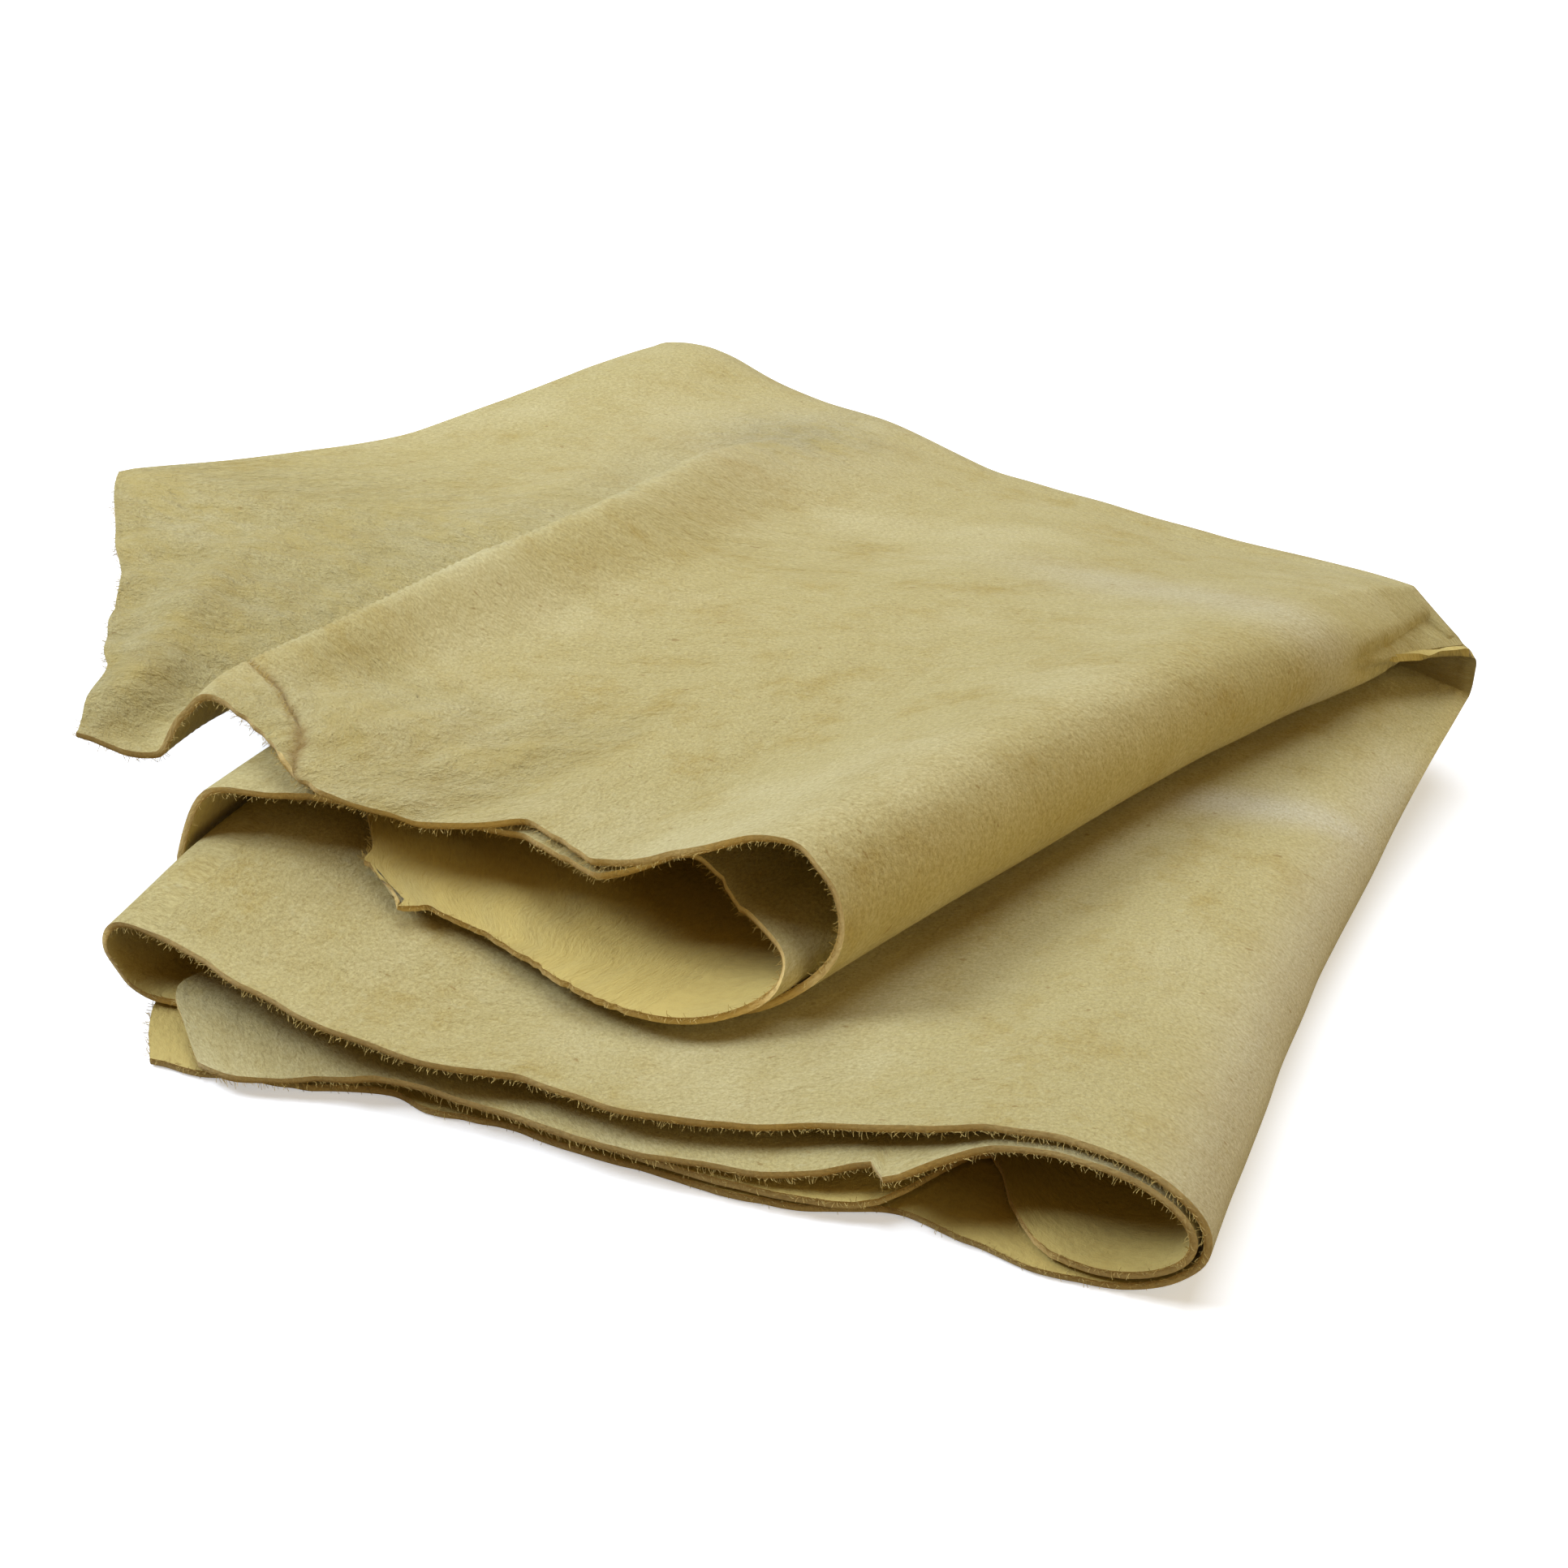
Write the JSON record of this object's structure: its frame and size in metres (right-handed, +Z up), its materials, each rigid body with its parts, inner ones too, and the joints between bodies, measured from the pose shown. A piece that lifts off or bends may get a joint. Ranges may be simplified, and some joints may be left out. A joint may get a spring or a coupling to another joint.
{
  "type": "chamois leather",
  "caption": "Folded chamois leather for washing and drying glass and paint: a soft suede hide rolled into layers and doubled over, with raw cut edges and a loose flap on top.",
  "frame": {"origin": "centre of the folded pack's footprint, on the surface it lies on", "axes": "+Z up off the floor, +X to the right tip of the pack as pictured, +Y away from the open front edges towards the back crease"},
  "size_m": [0.245, 0.2516, 0.0383],
  "materials": {
    "chamois_leather": "matte brushed suede on both faces, raw cut edges"
  },
  "bodies": {
    "lower_half": {"lower_bottom_panel": "chamois_leather", "lower_outer_roll": "chamois_leather", "lower_top_panel": "chamois_leather", "lower_left_loop": "chamois_leather", "lower_third_panel": "chamois_leather", "lower_inner_roll": "chamois_leather", "lower_second_panel": "chamois_leather", "back_fold_outer": "chamois_leather", "back_fold_outer_roll": "chamois_leather", "back_fold_facing": "chamois_leather", "back_fold_left_loop": "chamois_leather", "back_fold_third": "chamois_leather", "back_fold_inner_roll": "chamois_leather", "back_fold_inner": "chamois_leather"},
    "upper_half": {"upper_free_flap": "chamois_leather", "upper_top_panel": "chamois_leather", "upper_outer_roll": "chamois_leather", "upper_bottom_panel": "chamois_leather", "upper_left_loop": "chamois_leather", "upper_second_panel": "chamois_leather", "upper_inner_roll": "chamois_leather", "upper_inner_flap": "chamois_leather"}
  },
  "joints": [
    {"name": "fold_open", "type": "hinge", "parent": "lower_half", "child": "upper_half", "pos_m": [0.118, 0.0059, 0.0192], "axis": [-0.809, 0.5878, 0], "range_deg": [0, 120], "deforming": ["back_fold_outer", "back_fold_outer_roll", "back_fold_facing", "back_fold_left_loop", "back_fold_third", "back_fold_inner_roll", "back_fold_inner"]}
  ]
}
